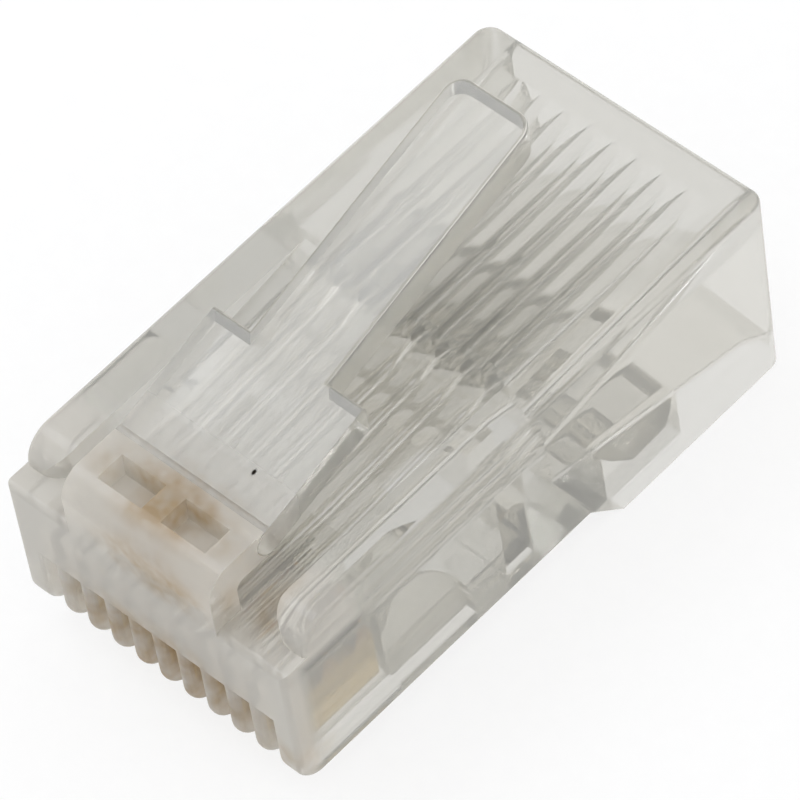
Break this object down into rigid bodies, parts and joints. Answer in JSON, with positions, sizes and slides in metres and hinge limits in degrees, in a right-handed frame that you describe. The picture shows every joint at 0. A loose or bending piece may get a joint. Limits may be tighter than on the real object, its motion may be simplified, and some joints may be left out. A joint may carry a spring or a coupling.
{
  "type": "rj45 modular plug",
  "caption": "Clear modular plug with a sprung latch, insulation-piercing blades in a slotted nose and an open entry for a round cable.",
  "frame": {"origin": "centre of the footprint, on the plane of the rear contact-side face", "axes": "+X across the width, +Y from the nose to the cable entry, +Z from the contact side to the latch side"},
  "size_m": [0.0116, 0.022, 0.0136],
  "materials": {
    "clear_polycarbonate": "clear, polished mould faces",
    "gold_plated_bronze": "gold plate over nickel, bright"
  },
  "bodies": {
    "body": {"housing": "clear_polycarbonate"},
    "latch": {"latch": "clear_polycarbonate"},
    "conductor_clamp": {"conductor_clamp": "clear_polycarbonate"},
    "jacket_clamp": {"jacket_clamp": "clear_polycarbonate"},
    "contact_1": {"contact_1": "gold_plated_bronze"},
    "contact_2": {"contact_2": "gold_plated_bronze"},
    "contact_3": {"contact_3": "gold_plated_bronze"},
    "contact_4": {"contact_4": "gold_plated_bronze"},
    "contact_5": {"contact_5": "gold_plated_bronze"},
    "contact_6": {"contact_6": "gold_plated_bronze"},
    "contact_7": {"contact_7": "gold_plated_bronze"},
    "contact_8": {"contact_8": "gold_plated_bronze"}
  },
  "joints": [
    {"name": "latch_hinge", "type": "hinge", "parent": "body", "child": "latch", "pos_m": [0, -0.00825, 0.00868], "axis": [1, 0, 0], "range_deg": [-15, 0], "stiffness_Nm_per_rad": 0.02},
    {"name": "conductor_clamp_press", "type": "slide", "parent": "body", "child": "conductor_clamp", "axis": [0, 0, 1], "range_m": [0, 0.0009]},
    {"name": "jacket_clamp_hinge", "type": "hinge", "parent": "body", "child": "jacket_clamp", "pos_m": [0, 0.00325, 0.00252], "axis": [1, 0, 0], "range_deg": [0, 25]},
    {"name": "contact_1_press", "type": "slide", "parent": "body", "child": "contact_1", "axis": [0, 0, 1], "range_m": [0, 0.0009]},
    {"name": "contact_2_press", "type": "slide", "parent": "body", "child": "contact_2", "axis": [0, 0, 1], "range_m": [0, 0.0009]},
    {"name": "contact_3_press", "type": "slide", "parent": "body", "child": "contact_3", "axis": [0, 0, 1], "range_m": [0, 0.0009]},
    {"name": "contact_4_press", "type": "slide", "parent": "body", "child": "contact_4", "axis": [0, 0, 1], "range_m": [0, 0.0009]},
    {"name": "contact_5_press", "type": "slide", "parent": "body", "child": "contact_5", "axis": [0, 0, 1], "range_m": [0, 0.0009]},
    {"name": "contact_6_press", "type": "slide", "parent": "body", "child": "contact_6", "axis": [0, 0, 1], "range_m": [0, 0.0009]},
    {"name": "contact_7_press", "type": "slide", "parent": "body", "child": "contact_7", "axis": [0, 0, 1], "range_m": [0, 0.0009]},
    {"name": "contact_8_press", "type": "slide", "parent": "body", "child": "contact_8", "axis": [0, 0, 1], "range_m": [0, 0.0009]}
  ]
}
